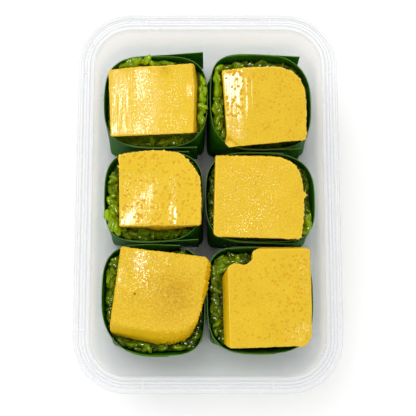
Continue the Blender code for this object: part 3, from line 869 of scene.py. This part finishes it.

# What sets each slab apart: how pale its top edge is, a painted highlight, how light its yellow,
# painted light that stands in for how much light falls on the slab, how dry and grainy its top,
# how far that lies below the CAD's highest point, and how often it is smoothed.
# Places are in millimetres: pits as (how many, x range, y range, radius range), scored bands
# as x ranges, wet and sparkling spots as (x range, y range, softness of the borders,
# strength), dips and dark spots as (x, y, radius, depth or strength), brown marks as (x, y,
# radius, depth, strength), torn stretches as (start, end, amount) in degrees, and a cut
# corner as (start, end, fall) of the line that cuts it.
plainSlab = {
    "crown": 0.2, "softness": 2, "pits": (), "scored": (), "wet": (), "dips": (), "darkSpots": (),
    "brown": (), "cutCorners": (),
}
custards = {
    "back_left": {
        "paintedEdgeHighlight": 1.0, "tone": 0.8, "dusty": 0.8, "scored": ((-47, -35.5),),
        "wet": (
            ((-33.8, -29.6), (50.5, 63.5), (2.5, 3), 0.34), ((-34.0, -28.4), (31.5, 38), (3, 5), 0.3),
            ((-46.2, -36.5), (31.6, 58), (1.5, 8), 0.32), ((-45.4, -41.6), (31.8, 38.5), (2, 4), 0.46),
            ((-9.9, -8.0), (51.0, 56.0), (0.8, 1.5), 0.34), ((-45, -24), (33, 62), (3, 3), 0.14),
        ),
        "sparkle": (
            ((-34.5, -26.5), (31.6, 64), (2.5, 2.5), 1.0), ((-44, -12), (32, 62), (3, 3), 0.42),
        ),
        "dips": ((-20.1, 63.5, 3.0, 0.5),), "darkSpots": ((-20.1, 64.2, 2.4, 0.5),),
        "torn": ((0, 360, 0.2),),
    },
    "back_right": {
        "paintedEdgeHighlight": 0.9, "tone": 0.45, "dusty": 0.25, "scored": ((6, 21),),
        "pits": ((85, (18, 46), (30, 64), (0.46, 0.62)), (44, (7.2, 16.5), (39, 64), (0.6, 0.85))),
        "wet": (
            ((6.5, 15.8), (46.0, 62.8), (0.8, 3), 0.8), ((8.5, 15.4), (39, 48), (1.5, 6), 0.42),
            ((17.6, 18.6), (42, 61), (0.6, 4), 0.3), ((20.6, 20.9), (46, 59), (0.3, 3), 0.4),
            ((10.5, 15.5), (30, 44), (1.5, 4), 0.2),
        ),
        "sparkle": (((16.6, 18.8), (40, 62), (1, 2), 0.4), ((11, 17), (29, 42), (2, 2), 0.3)),
        "torn": ((-50, 135, 0.85),), "cutCorners": (((7.6, 32.6), (14.9, 26.0), 1.0),),
    },
    "middle_left": {
        "paintedEdgeHighlight": 1.0, "tone": 0.75, "dusty": 0.5, "crown": 0.3,
        "pits": ((170, (-40, -5), (-10, 24), (0.48, 0.68)),), "scored": ((-41, -24), (-19, -13.5)),
        "wet": (
            ((-40.4, -36.0), (-10.8, -6.0), (1.5, 5), 0.62), ((-35.6, -33.6), (-10.8, -3), (1.0, 4), 0.5),
            ((-32.6, -28.8), (-10.8, 2), (2.4, 5), 0.4), ((-28.4, -26), (-5.0, 8), (1.2, 3), 0.34),
            ((-18.1, -17.1), (-10.6, -2), (0.5, 4), 0.45), ((-15.6, -14.6), (-10.6, -4), (0.5, 4), 0.65),
        ),
        "sparkle": (((-39, -23), (-10, 12), (3, 3), 0.5), ((-17.6, -15), (-4, 12), (0.8, 2), 0.9)),
        "torn": ((40, 150, 1.0), (-40, 40, 0.55), (225, 310, 0.4)),
    },
    "middle_right": {
        "paintedEdgeHighlight": 1.0, "tone": 0.5, "dusty": 0.4,
        "pits": ((20, (5, 42), (-15, 20), (0.4, 0.5)),),
        "sparkle": (
            ((13, 20.5), (-15.2, -9), (3, 3), 0.55), ((18, 26), (-9, 0), (4, 4), 0.42),
            ((7, 32), (-15, 16), (6, 6), 0.22),
        ),
        "brown": ((13.1, 5.6, 0.55, 0.2, 0.25),),
        "torn": ((-55, 70, 0.75), (70, 130, 0.6), (240, 300, 0.2)),
    },
    "front_left": {
        "paintedEdgeHighlight": 0.2, "tone": 0.15, "dusty": 0.8, "crown": 0.0, "softness": 12,
        "pits": ((24, (-30, -7), (-54, -30), (0.42, 0.52)),),
        "wet": (
            ((-32.6, -28.8), (-32.0, -23.4), (2, 3), 0.3),
            ((-41.2, -39.8), (-37.4, -32.5), (0.9, 2), 0.35),
        ),
        "sparkle": (
            ((-32.6, -26.6), (-39, -22.8), (1.6, 3), 0.7), ((-41.4, -38.6), (-38, -31), (1.2, 3), 0.5),
            ((-20, -16.5), (-32, -26), (2, 2), 0.25), ((-42, -20), (-42, -24), (3, 5), 0.2),
        ),
        "dips": ((-14.5, -43.0, 9.0, 1.0),),
        "darkSpots": (
            (-16.0, -39.5, 2.6, 0.9), (-12.0, -39.8, 1.8, 0.6), (-10.5, -44.2, 2.0, 0.7),
            (-18.5, -48.5, 5.0, 0.6), (-15.7, -43.5, 10.0, 0.75),
        ),
        "brown": ((-33.2, -42.7, 0.6, 0.5, 0.85), (-31.3, -46.3, 1.0, 0.03, 0.12)),
        "torn": ((-80, 30, 1.0), (60, 130, 0.3)),
    },
    "front_right": {
        "paintedEdgeHighlight": 0.8, "tone": 0.45, "dusty": 0.15,
        "pits": (
            (48, (11, 31), (-64, -31), (0.48, 0.66)), (100, (29, 45), (-64, -24), (0.48, 0.68)),
        ),
        "sparkle": (
            ((37.5, 45), (-64, -56.5), (3, 3), 0.7), ((43.5, 46), (-44, -27), (2, 3), 0.4),
        ),
        "torn": ((235, 300, 0.25),),
    },
}


def drawPits(groups, rng):
    pits = []
    for count, across, along, sizes in groups:
        for _ in range(count):
            x = rng.uniform(*across)
            y = rng.uniform(*along)
            size = rng.uniform(*sizes)
            pits.append((x, y, size, custardSkin["pitDepth"] * size, 1.0))
    return pits


def awayFrom(points, x, y, radius):
    # how many radiuses each point lies from a place in millimetres
    return np.hypot(points[:, 0] - x * mm, points[:, 1] - y * mm) / (radius * mm)


def pressPits(points, pits, upper):
    # how deep each point goes, and how much of a pit it is
    depth = np.zeros(len(points))
    share = np.zeros(len(points))
    for x, y, radius, deep, strength in pits:
        away = awayFrom(points, x, y, radius)
        bowl = np.clip(1 - away**2, 0, 1) ** 2 * upper
        depth = np.maximum(depth, bowl * deep * mm)
        share = np.maximum(share, np.clip(2.2 - 2 * away, 0, 1) * upper * strength)
    return depth, share


def tornShare(points, middle, sectors):
    angle = np.degrees(np.arctan2(points[:, 1] - middle.y, points[:, 0] - middle.x))
    share = np.full(len(points), custardSkin["leastTorn"])
    for start, end, amount in sectors:
        half = (end - start) / 2
        away = np.abs((angle - (start + end) / 2 + 180) % 360 - 180)
        fade = 1 - ease(away, half, half + custardSkin["tornFade"])
        share = np.maximum(share, amount * fade)
    return share


def inSpots(points, spots, border):
    # how far each point lies inside the spots, whose border wanders
    share = np.zeros(len(points))
    for across, along, softness, strength in spots:
        inside = strength
        for axis, span in enumerate((across, along)):
            soft = softness[axis]
            values = points[:, axis] / mm + border * soft
            inside = inside * ease(values, span[0] - soft, span[0] + soft * 0.4)
            inside = inside * (1 - ease(values, span[1] - soft * 0.4, span[1] + soft))
        share = np.maximum(share, inside)
    return share


def scoredShare(points, bands, number):
    share = np.zeros(len(points))
    for start, end in bands:
        inside = ease(points[:, 0], (start - 1) * mm, (start + 1) * mm)
        inside *= 1 - ease(points[:, 0], (end - 1) * mm, (end + 1) * mm)
        share = np.maximum(share, inside)
    return share * ease(unevenness(points, custardSkin["scoreGaps"], number + 11), -0.5, 0.1)


def cutAway(points, cuts, coarse):
    # how far each point lies past a cut, in the crease along it, and how deep it sinks
    past, crease, sunk = np.zeros((3, len(points)))
    for start, end, fall in cuts:
        line = np.subtract(end, start) / np.hypot(*np.subtract(end, start))
        beyond = (points[:, 0] - start[0] * mm) * line[1] - (points[:, 1] - start[1] * mm) * line[0]
        crease = np.exp(-((beyond / custardSkin["creaseWidth"]) ** 2))
        past = ease(beyond, 0, custardSkin["cutSlope"])
        sunk += past * (fall * mm + coarse * custardSkin["cutRelief"])
        sunk += crease * custardSkin["creaseDepth"]
    return past, crease, sunk


def shapeCustard(piece, place, settings, rng):
    skin = custardSkin
    number = cupPlaces.index(place)
    low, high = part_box("custard_" + place)
    points = readPoints(piece.data)
    normals = readPoints(piece.data, "normal")
    facingUp = normals[:, 2]
    begins, ends = (high.z - depth for depth in skin["topFrom"])
    upper = ease(facingUp, *skin["topFacing"]) * ease(points[:, 2], begins, ends)
    side = 1 - ease(np.abs(facingUp), *skin["sideFacing"])
    fine = unevenness(points, skin["fineSize"], number)
    coarse = unevenness(points, skin["coarseSize"], number + 3)
    broad = unevenness(points, skin["broadSize"], number + 5)
    level = high.z - settings["crown"] * mm
    points[:, 2] += (level - points[:, 2]) * ease(facingUp, *skin["levelFacing"])
    rise = upper * (fine * skin["fineRelief"] + broad * skin["broadRelief"])
    drawnOut = points * np.array(skin["scoreStretch"])
    score = unevenness(drawnOut, skin["scoreSize"], number + 8)
    bands = scoredShare(points, settings["scored"], number)
    rise += upper * bands * score * skin["scoreDepth"]
    past, crease, sunk = cutAway(points, settings["cutCorners"], coarse)
    rise -= sunk * upper
    for x, y, radius, deep in settings["dips"]:
        rise -= np.exp(-(awayFrom(points, x, y, radius) ** 2)) * deep * mm * upper
    pitDepth, pitShare = pressPits(points, drawPits(settings["pits"], rng), upper)
    markDepth, markShare = pressPits(points, settings["brown"], upper)
    points[:, 2] += rise - pitDepth - markDepth
    torn = tornShare(points, (low + high) / 2, settings["torn"])
    upright = points * np.array(skin["toothStretch"])
    teeth = unevenness(upright, skin["toothSize"], number + 2) * skin["toothDepth"]
    spongy = (fine * 0.5 + coarse * 0.5) * skin["sideRelief"]
    points += normals * (side * (teeth * torn + spongy))[:, None]
    writePoints(piece.data, points)
    # what marks each point for the finish
    dry = upper * (1 - np.clip(pitShare * 1.6, 0, 1))
    # painted shade along a cut corner's crease, and darker spots laid over the dips
    darkSpotAndCreaseShade = crease * upper * 0.5
    for x, y, radius, strength in settings["darkSpots"]:
        faded = np.exp(-(awayFrom(points, x, y, radius) ** 2))
        darkSpotAndCreaseShade = np.maximum(darkSpotAndCreaseShade, faded * (strength + fine * 0.6) * upper)
    # painted highlight: rim picks out a thin line along the top edge, which is painted pale
    rim = ease(facingUp, 0.35, 0.7) * (1 - ease(facingUp, 0.8, 0.97))
    rim = rim * ease(points[:, 2], high.z - 1.6 * mm, high.z - 0.8 * mm)
    marks = {
        # painted light: tone is the slab's lightness, standing in for how much light falls on it
        "tone": np.full(len(points), settings["tone"]),
        "wet": inSpots(points, settings["wet"], coarse) * dry,
        "sparkle": inSpots(points, settings["sparkle"], coarse) * dry,
        "dusty": settings["dusty"] * dry,
        "scored": bands * upper,
        "pit": pitShare,
        "darkSpotAndCreaseShade": darkSpotAndCreaseShade,
        "brown": markShare,
        # the sides are deeper yellow, and those facing the window are painted paler: painted light
        "side": side,
        "paintedLitSide": side * (ease(normals[:, 1], 0.3, 0.7) + ease(-normals[:, 0], 0.5, 0.9)),
        # painted highlight along the top edge, and the corner past a cut made paler
        "edge": np.maximum(rim * settings["paintedEdgeHighlight"], past * upper * 0.7),
    }
    for name, values in marks.items():
        writeAttribute(piece.data, name, values)


def makeCustard(place, material):
    settings = {**plainSlab, **custards[place]}
    piece = copyOfNode("custard_" + place, "custard_" + place + "_slab")
    applyModifier(piece, "REMESH", mode="VOXEL", voxel_size=custardSkin["voxel"])
    applyModifier(piece, "SMOOTH", factor=0.5, iterations=settings["softness"])
    rng = random.Random(custardSkin["seed"] + cupPlaces.index(place))
    shapeCustard(piece, place, settings, rng)
    return finishPiece(piece, "custardSlab_" + place, ["custard_" + place], material)


custardLook = {
    "constants": {
        "Subsurface Weight": 0.12, "Subsurface Radius": (1.0, 0.5, 0.08), "Subsurface Scale": 1.2 * mm,
        "Specular IOR Level": 0.12, "Coat Roughness": 0.14,
    },
    # painted light and shade among these: the deep to light ground stands in for how much light falls on
    # each slab, the sheen lines are a painted highlight, the sides facing the window are painted light,
    # the pale edge is a painted highlight, and the darker spots also paint the shade in a cut corner's
    # crease
    "tones": {
        "deep": (203, 162, 8), "light": (222, 183, 16), "cloud": (226, 187, 28),
        "crumb": (238, 202, 44), "freckle": (252, 228, 110), "paintedSheenLine": (248, 226, 120),
        "side": (238, 192, 4), "litSide": (252, 208, 16), "darkSpotAndCreaseShade": (188, 138, 0),
        "pit": (211, 158, 0), "edge": (246, 218, 104), "brown": (110, 64, 4),
    },
    "marks": (
        "tone", "wet", "sparkle", "dusty", "scored", "pit", "darkSpotAndCreaseShade", "brown", "side", "paintedLitSide", "edge",
    ),
}


def custardFinish():
    material, shader, wire = startFinish("custard", custardLook["constants"])
    tones = shownTones(custardLook)
    marks = {name: wire.mark(name) for name in custardLook["marks"]}
    wet = marks["wet"]
    place = wire.node("TexCoord", output="Object")
    cloud = place.noise(120.0, 3.0).step(0.3, 0.7)
    grain = place.noise(1100.0)
    crumb = place.noise(1700.0, 1.0)
    blotch = place.noise(1300.0)
    spark = place.noise(1350.0, 1.0)
    streak = wire.node("Mapping", {}, {"Vector": place, "Scale": (1.0, 0.05, 1.0)}).noise(950.0, 1.5)
    lines = streak.step(0.4, 0.6)
    # one tone after another over the ground, each where its own mask lets it
    # painted light: the ground runs from deep to light yellow by each slab's tone, which stands in for
    # how much light falls on it
    shown = marks["tone"].between(tones["deep"], tones["light"])
    layers = (
        ("cloud", cloud * 0.4),
        ("crumb", grain.step(0.38, 0.64) * (0.3 + marks["dusty"] * 0.24)),
        ("freckle", crumb.step(0.55, 0.66) * marks["dusty"] * 0.18),
        # painted highlight: pale sheen lines where the slab is scored and wet
        ("paintedSheenLine", marks["scored"] * wet * lines * 0.35),
        ("side", marks["side"] * 0.8),
        # painted light: the sides facing the window are paler
        ("litSide", marks["paintedLitSide"] * 0.8),
        # darker spots over the dips, and painted shade in a cut corner's crease
        ("darkSpotAndCreaseShade", marks["darkSpotAndCreaseShade"] * (1.0 - grain.step(0.4, 0.6) * 0.4)),
        ("pit", marks["pit"]),
        # painted highlight: the pale top edge
        ("edge", marks["edge"] * 0.6),
        ("brown", marks["brown"]),
    )
    for name, mask in layers:
        shown = mask.between(shown, tones[name])
    # wet spots shine where the knife's lines and the grain let them, sparkling ones in dots
    ridges = 1 - marks["scored"] * (1 - lines) * 0.7
    grained = blotch + (streak - blotch) * marks["scored"] * 0.55
    broken = (grained + wet * 0.45).step(0.66, 0.78)
    dots = spark.step(0.6, 0.65) * (marks["sparkle"] + marks["dusty"] * 0.05)
    film = broken * wet.step(0.0, 0.3) * 0.85 + wet * 0.35
    feedShader(shader, {
        "Base Color": shown,
        "Roughness": 0.6 - wet * 0.2,
        "Coat Weight": film * ridges + dots,
        "Normal": grain.relief(0.7, 0.14 * mm),
    })
    return material


# Studio: pale floor, soft lights and the camera at the photograph's angle

studio = {
    "cameraPlace": (0, -90.7289 * mm, 514.4405 * mm),
    "cameraElevation": 79.5,
    "lens": 90.33,
    "sensor": 36,
    "nearest": 0.01,
    "floorSize": 6.0,
    "floorDrop": 0.05 * mm,
    "worldStrength": 0.905,
    "worldColour": (1.0, 0.993, 0.99, 1.0),
    # the window light comes from the back left; its softness is an angle in degrees
    "sunPlace": (-0.4, 0.6, 1.4),
    "sunToward": (0.30, -0.42, -1.0),
    "sunStrength": 1.0,
    "sunSoftness": 40,
    # a panel that only shows in what shines: place, width, length and power
    "glossPanel": ((-0.02, 0.20, 1.0), 0.35, 0.5, 12.0),
    "lookAt": (0, 0, 0.03),
}


def floorFinish():
    material, shader, wire = startFinish("studioFloor", {"Roughness": 0.8, "Specular IOR Level": 0.1})
    cloud = wire.node("TexCoord", output="Object").noise(3.0)
    tone = cloud.between(colour(250, 250, 250), colour(252, 252, 252))
    feedShader(shader, {"Base Color": tone})
    return material


def makeStudio():
    pick()
    level = -studio["floorDrop"]
    bpy.ops.mesh.primitive_plane_add(size=studio["floorSize"], location=(0, 0, level))
    floor = bpy.context.object
    floor.name = "studioFloor"
    floor.data.materials.append(floorFinish())
    toward = Vector(studio["sunToward"]).to_track_quat("-Z", "Y").to_euler()
    bpy.ops.object.light_add(type="SUN", location=studio["sunPlace"], rotation=toward)
    window = bpy.context.object
    window.name = "windowLight"
    window.data.energy = studio["sunStrength"]
    window.data.angle = math.radians(studio["sunSoftness"])
    window.visible_glossy = False
    place, width, length, power = studio["glossPanel"]
    toward = (Vector(studio["lookAt"]) - Vector(place)).to_track_quat("-Z", "Y").to_euler()
    bpy.ops.object.light_add(type="AREA", location=place, rotation=toward)
    panel = bpy.context.object
    panel.name = "glossPanel"
    panel.visible_diffuse = False
    panel.data.shape = "RECTANGLE"
    panel.data.size = width
    panel.data.size_y = length
    panel.data.energy = power
    world = bpy.data.worlds.new("studioAir")
    world.use_nodes = True
    air = world.node_tree.nodes["Background"]
    air.inputs["Color"].default_value = studio["worldColour"]
    air.inputs["Strength"].default_value = studio["worldStrength"]
    world.cycles_visibility.glossy = False
    bpy.context.scene.world = world
    bpy.context.scene.view_settings.view_transform = "Standard"


def makeCamera():
    tilt = math.radians(90 - studio["cameraElevation"])
    bpy.ops.object.camera_add(location=studio["cameraPlace"], rotation=(tilt, 0, 0))
    camera = bpy.context.object
    camera.name = "photoCamera"
    camera.data.sensor_width = studio["sensor"]
    camera.data.lens = studio["lens"]
    camera.data.clip_start = studio["nearest"]
    bpy.context.scene.camera = camera


makeClearBox(clearPlasticFinish())
print("box made")
leaf = leafFinish()
for cupPlace in cupPlaces:
    makeLeafCup(cupPlace, leaf)
print("leaf cups made")
stickyRice = riceFinish("riceMass", ownTones=False)
looseRice = riceFinish("riceGrain", ownTones=True)
grainKinds = makeGrainKinds(random.Random(riceHeap["kindSeed"]))
for cupPlace in cupPlaces:
    mass, loose = makeRice(cupPlace, grainKinds, stickyRice, looseRice)
    print("rice laid in", cupPlace, len(mass.data.polygons), "and", len(loose.data.polygons), "faces")
custard = custardFinish()
for cupPlace in cupPlaces:
    slab = makeCustard(cupPlace, custard)
    print("custard cut for", cupPlace, len(slab.data.polygons), "faces")
makeStudio()
makeCamera()
print("studio set")
